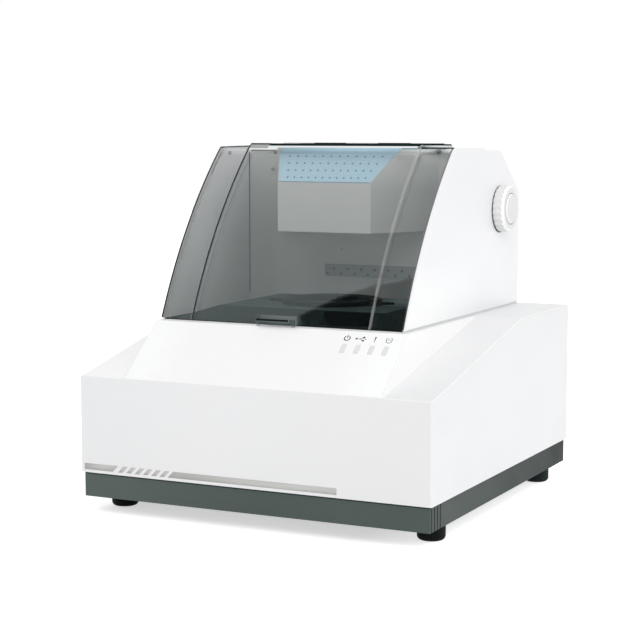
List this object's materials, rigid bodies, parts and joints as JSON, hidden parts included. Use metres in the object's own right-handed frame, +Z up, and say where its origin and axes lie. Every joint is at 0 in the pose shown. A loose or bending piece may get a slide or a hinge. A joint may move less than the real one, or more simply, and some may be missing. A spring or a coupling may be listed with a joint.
{
  "type": "bench near-infrared analyser",
  "caption": "Bench near-infrared sample analyser: white housing on a dark plinth, smoked lift-up chamber door, turning sample stage, hand knobs and rubber feet.",
  "frame": {"origin": "on the table, under the middle of the housing", "axes": "+X to the right seen from the front, +Y to the back, +Z up"},
  "size_m": [0.43, 0.445, 0.4175],
  "materials": {
    "housing_white": "fine satin texture",
    "hood_white": "satin",
    "plinth_grey": "satin",
    "foot_rubber": "matt",
    "smoked_clear": "polished, see-through",
    "clear_plastic": "polished, see-through",
    "seal_pale": "matt",
    "gasket_black": "matt",
    "trim_black": "satin",
    "knob_grey": "fine satin texture",
    "stage_grey": "gloss",
    "insert_grey": "satin",
    "rail_steel": "brushed",
    "turned_steel": "turned",
    "cup_aluminium": "anodised",
    "bare_aluminium": "cast",
    "head_blue": "satin",
    "screw_steel": "plated",
    "light_green": "translucent",
    "optic_glass": "polished",
    "bulb_glass": "polished",
    "mirror_coat": "polished",
    "belt_black": "ribbed",
    "board_green": "solder mask",
    "inlet_black": "moulded",
    "pin_brass": "plated"
  },
  "bodies": {
    "analyser": {"plinth_tray": "plinth_grey", "rubber_feet": "foot_rubber", "foot_screws": "screw_steel", "lower_housing": "housing_white", "status_lights": "light_green", "rear_panel": "bare_aluminium", "case_screws": "screw_steel", "power_inlet": "inlet_black", "inlet_pins": "pin_brass", "rocker_bezel": "inlet_black", "data_port": "turned_steel", "fan_frame": "inlet_black", "right_cheek": "hood_white", "left_cheek": "hood_white", "rear_cover": "hood_white", "hood_gasket": "gasket_black", "right_canopy_strip": "smoked_clear", "left_canopy_strip": "smoked_clear", "header_bar": "trim_black", "hinge_base": "trim_black", "hinge_pin": "turned_steel", "knob_studs": "screw_steel", "stage_deck": "stage_grey", "slope_insert": "insert_grey", "back_wall": "hood_white", "sample_rail": "rail_steel", "cup_carrier": "trim_black", "roller_cover": "trim_black", "turntable_bearing": "turned_steel", "bearing_housing": "bare_aluminium", "drive_motor": "turned_steel", "drive_belt": "belt_black", "lamp_housing": "bare_aluminium", "lamp_bulb": "bulb_glass", "condenser_lens": "optic_glass", "window_mount": "bare_aluminium", "measuring_window": "optic_glass", "spectrometer_box": "bare_aluminium", "fold_mirror": "mirror_coat", "grating": "mirror_coat", "detector_module": "bare_aluminium", "main_board": "board_green", "power_supply": "bare_aluminium", "head_cover": "hood_white", "head_panel": "head_blue", "head_detector": "bare_aluminium"},
    "door": {"door_panel": "smoked_clear", "door_seals": "seal_pale", "door_handle": "clear_plastic", "door_hinge_leaf": "trim_black"},
    "turntable": {"turntable": "turned_steel", "turntable_pulley": "bare_aluminium"},
    "cup": {"sample_cup": "cup_aluminium", "cup_window": "optic_glass"},
    "motor_rotor": {"motor_pulley": "bare_aluminium"},
    "fan": {"fan_rotor": "inlet_black"},
    "rocker": {"power_rocker": "inlet_black"},
    "left_knob": {"left_knob": "knob_grey"},
    "right_knob": {"right_knob": "knob_grey"}
  },
  "joints": [
    {"name": "door_hinge", "type": "hinge", "parent": "analyser", "child": "door", "pos_m": [0, 0.072, 0.4145], "axis": [-1, 0, 0], "range_deg": [0, 130]},
    {"name": "turntable_spin", "type": "hinge", "parent": "analyser", "child": "turntable", "pos_m": [0, -0.0145, 0.1994], "axis": [0, 0, 1], "continuous": true},
    {"name": "cup_lift", "type": "slide", "parent": "turntable", "child": "cup", "axis": [0, 0, 1], "range_m": [0, 0.06]},
    {"name": "motor_spin", "type": "hinge", "parent": "analyser", "child": "motor_rotor", "pos_m": [-0.095, -0.0145, 0.1888], "axis": [0, 0, 1], "continuous": true},
    {"name": "fan_spin", "type": "hinge", "parent": "analyser", "child": "fan", "pos_m": [-0.088, 0.2035, 0.128], "axis": [0, 1, 0], "continuous": true},
    {"name": "switch_tilt", "type": "hinge", "parent": "analyser", "child": "rocker", "pos_m": [0.118, 0.21502, 0.158], "axis": [-1, 0, 0], "range_deg": [0, 14]},
    {"name": "left_knob_turn", "type": "hinge", "parent": "analyser", "child": "left_knob", "pos_m": [-0.1537, 0.1402, 0.3382], "axis": [-1, 0, 0], "range_deg": [0, 180]},
    {"name": "right_knob_turn", "type": "hinge", "parent": "analyser", "child": "right_knob", "pos_m": [0.1537, 0.1402, 0.3382], "axis": [1, 0, 0], "range_deg": [0, 180]}
  ],
  "couplings": [
    {"joint": "motor_spin", "follows": "turntable_spin", "ratio": 5}
  ]
}
